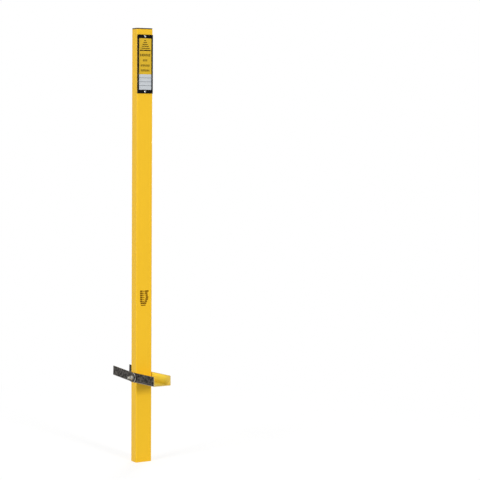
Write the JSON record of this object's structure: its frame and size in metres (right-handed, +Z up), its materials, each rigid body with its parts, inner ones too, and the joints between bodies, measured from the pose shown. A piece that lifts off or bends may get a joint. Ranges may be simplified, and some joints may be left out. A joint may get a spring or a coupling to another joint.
{
  "type": "utility marker post",
  "caption": "Hollow rectangular ground marker post with a push-in cap, a two-plate sign in a riveted channel, and folding sheet-metal anchor wings on a through bolt.",
  "frame": {"origin": "middle of the tube's foot, on the plane that the post stands on", "axes": "+Z up along the tube; the sign faces -Y; +X is to the right of someone who reads the sign"},
  "size_m": [0.1275, 0.4014, 2],
  "materials": {
    "post_yellow": "smooth extruded plastic, satin",
    "cap_brown": "moulded plastic, fine grain",
    "channel_black": "extruded black plastic, satin",
    "sign_yellow": "printed plastic plate",
    "label_grey": "plain plate for writing on",
    "wing_steel": null,
    "zinc_steel": "bright zinc-plated fastener",
    "rivet_alloy": "plain aluminium rivet"
  },
  "bodies": {
    "post": {"post_tube": "post_yellow", "top_cap": "cap_brown", "sign_holder": "channel_black", "upper_end_stop": "channel_black", "lower_end_stop": "channel_black", "sign_plate": "sign_yellow", "label_plate": "label_grey", "upper_rivet": "rivet_alloy", "lower_rivet": "rivet_alloy", "upper_rivet_pin": "zinc_steel", "lower_rivet_pin": "zinc_steel", "anchor_bolt": "zinc_steel", "head_washer": "zinc_steel", "nut_washer": "zinc_steel", "anchor_nut": "zinc_steel"},
    "front_wing": {"front_wing": "wing_steel"},
    "rear_wing": {"rear_wing": "wing_steel"}
  },
  "joints": [
    {"name": "front_wing_fold", "type": "hinge", "parent": "post", "child": "front_wing", "pos_m": [0, 0, 0.395], "axis": [-1, 0, 0], "range_deg": [0, 75]},
    {"name": "rear_wing_fold", "type": "hinge", "parent": "post", "child": "rear_wing", "pos_m": [0, 0, 0.395], "axis": [1, 0, 0], "range_deg": [0, 75]}
  ]
}
